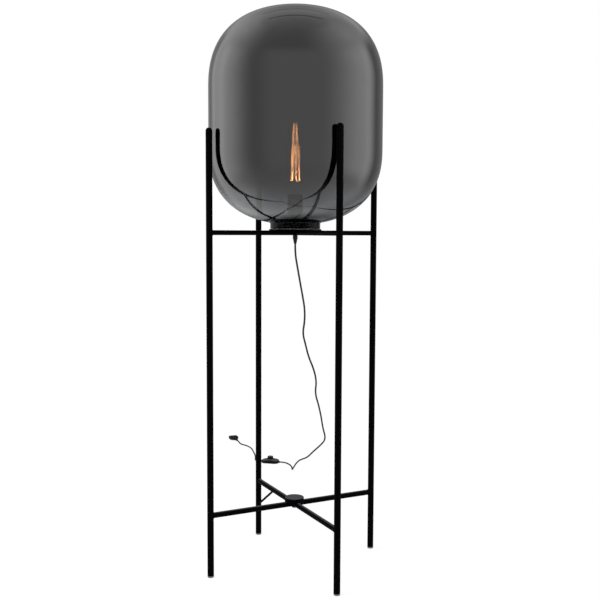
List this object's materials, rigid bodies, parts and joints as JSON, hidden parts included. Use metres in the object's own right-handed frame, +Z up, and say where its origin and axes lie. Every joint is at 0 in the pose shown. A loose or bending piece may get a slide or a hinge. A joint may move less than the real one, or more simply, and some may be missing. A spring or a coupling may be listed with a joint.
{
  "type": "globe floor lamp",
  "caption": "Floor lamp with a tall smoked-glass globe on a slim black stand of round legs and crossed bars, with a tubular filament bulb, foot switch and mains lead.",
  "frame": {"origin": "on the floor, midway between the four feet, on the axis of the glass", "axes": "+Z up; X and Y along the sides of the square of legs, with the braced leg at -X +Y"},
  "size_m": [0.912, 1.4216, 1.4],
  "materials": {
    "black_steel": "satin black powder coat",
    "glide_grey": "grey-brown moulded plastic",
    "smoked_glass": "mouth-blown glass tinted dark grey, polished",
    "clear_rubber": "translucent silicone",
    "screw_steel": "zinc-plated steel",
    "black_plastic": "satin black moulding",
    "pad_rubber": "soft black rubber",
    "ceramic_white": "glazed porcelain",
    "brass": "rolled brass",
    "wire_sheath": "brown and blue PVC sheaths",
    "solder": "tin solder",
    "vitrite": "black glass insulator",
    "clear_glass": "clear lamp glass",
    "lead_wire": "nickel-plated wire",
    "filament": "glowing wire",
    "block_plastic": "pale moulding",
    "black_flex": "round black PVC flex"
  },
  "bodies": {
    "stand": {"leg_front_left": "black_steel", "leg_front_right": "black_steel", "leg_back_right": "black_steel", "leg_back_left": "black_steel", "upper_arm_front_left": "black_steel", "upper_arm_front_right": "black_steel", "upper_arm_back_right": "black_steel", "upper_arm_back_left": "black_steel", "upper_hub": "black_steel", "lower_arm_through": "black_steel", "lower_arm_front": "black_steel", "lower_arm_back": "black_steel", "lower_hub_disc": "black_steel", "lower_hub_washer": "black_steel", "brace_rod": "black_steel", "gallery_plate": "black_steel", "locating_ring": "black_steel", "holder_cup": "black_steel", "leg_caps": "black_steel", "foot_glides": "glide_grey", "glass_gasket": "clear_rubber", "lower_hub_screw": "screw_steel", "switch_screws": "screw_steel", "threaded_nipple": "screw_steel", "nipple_nuts": "screw_steel", "cord_grip_collar": "black_plastic", "cord_grip_sleeve": "black_plastic", "holder_base": "black_plastic", "holder_skirt": "black_plastic", "switch_base": "black_plastic", "switch_cover": "black_plastic", "switch_grommets": "black_plastic", "plug_body": "black_plastic", "plug_strain_relief": "black_plastic", "plug_pin_sleeves": "black_plastic", "switch_pads": "pad_rubber", "holder_core": "ceramic_white", "holder_liner": "ceramic_white", "holder_thread_shell": "brass", "holder_contact": "brass", "holder_terminals": "brass", "switch_terminals": "brass", "plug_pins": "brass", "supply_wires": "wire_sheath", "button_spring": "lead_wire", "switch_contact_block": "block_plastic", "cord_lamp_side": "black_flex", "cord_plug_side": "black_flex"},
    "globe": {"glass_globe": "smoked_glass"},
    "bulb": {"bulb_contact": "solder", "bulb_insulator": "vitrite", "bulb_cap": "brass", "bulb_glass": "clear_glass", "bulb_stem": "clear_glass", "bulb_leads": "lead_wire", "bulb_filament": "filament", "bulb_supports": "lead_wire"},
    "button": {"foot_button": "black_plastic"}
  },
  "joints": [
    {"name": "foot_button_press", "type": "slide", "parent": "stand", "child": "button", "axis": [0, 0, -1], "range_m": [0, 0.003], "stiffness_N_per_m": 400, "springref_m": -0.002, "deforming": ["button_spring"]},
    {"name": "globe_lift", "type": "slide", "parent": "stand", "child": "globe", "axis": [0, 0, 1], "range_m": [0, 0.3]},
    {"name": "bulb_unscrew", "type": "slide", "parent": "stand", "child": "bulb", "axis": [0, 0, 1], "range_m": [0, 0.024]}
  ]
}
